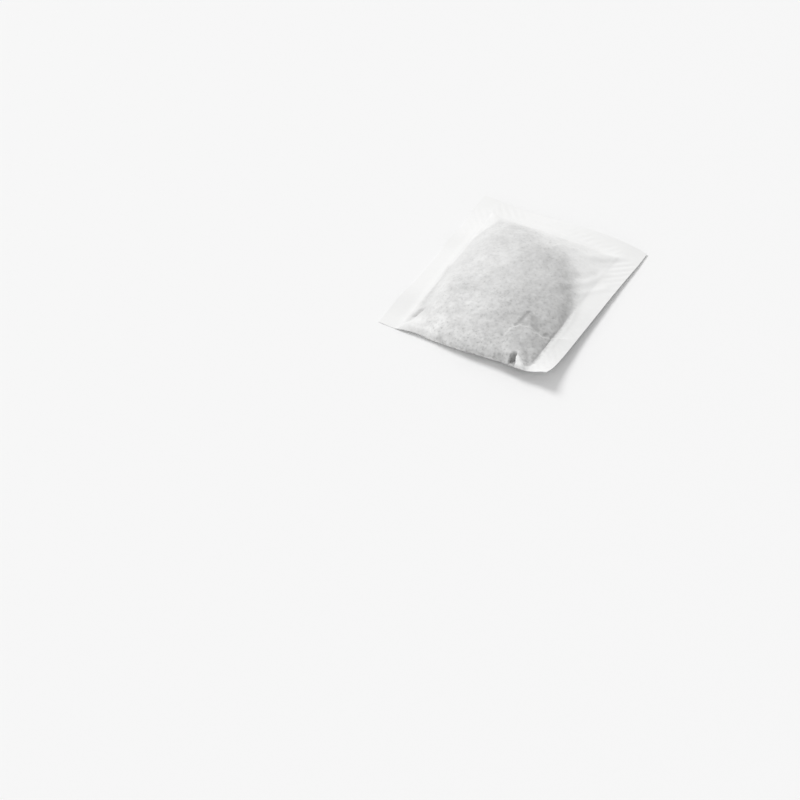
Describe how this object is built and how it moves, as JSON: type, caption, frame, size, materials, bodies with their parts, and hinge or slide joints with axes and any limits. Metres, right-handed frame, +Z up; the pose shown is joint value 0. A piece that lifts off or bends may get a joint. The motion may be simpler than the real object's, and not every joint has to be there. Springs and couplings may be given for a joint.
{
  "type": "tea bag",
  "caption": "Flat rectangular tea bag of white filter paper, folded over its tea and heat-sealed on three sides.",
  "frame": {"origin": "bottom centre of the bag's box, on the surface that the bag lies on", "axes": "+X along the folded edge, from the left seal to the right seal; +Y from the folded edge to the far seal; +Z up"},
  "size_m": [0.055, 0.062, 0.0058],
  "materials": {
    "filter_paper": "matte"
  },
  "bodies": {
    "root": {"tea_bag": "filter_paper"}
  },
  "joints": []
}
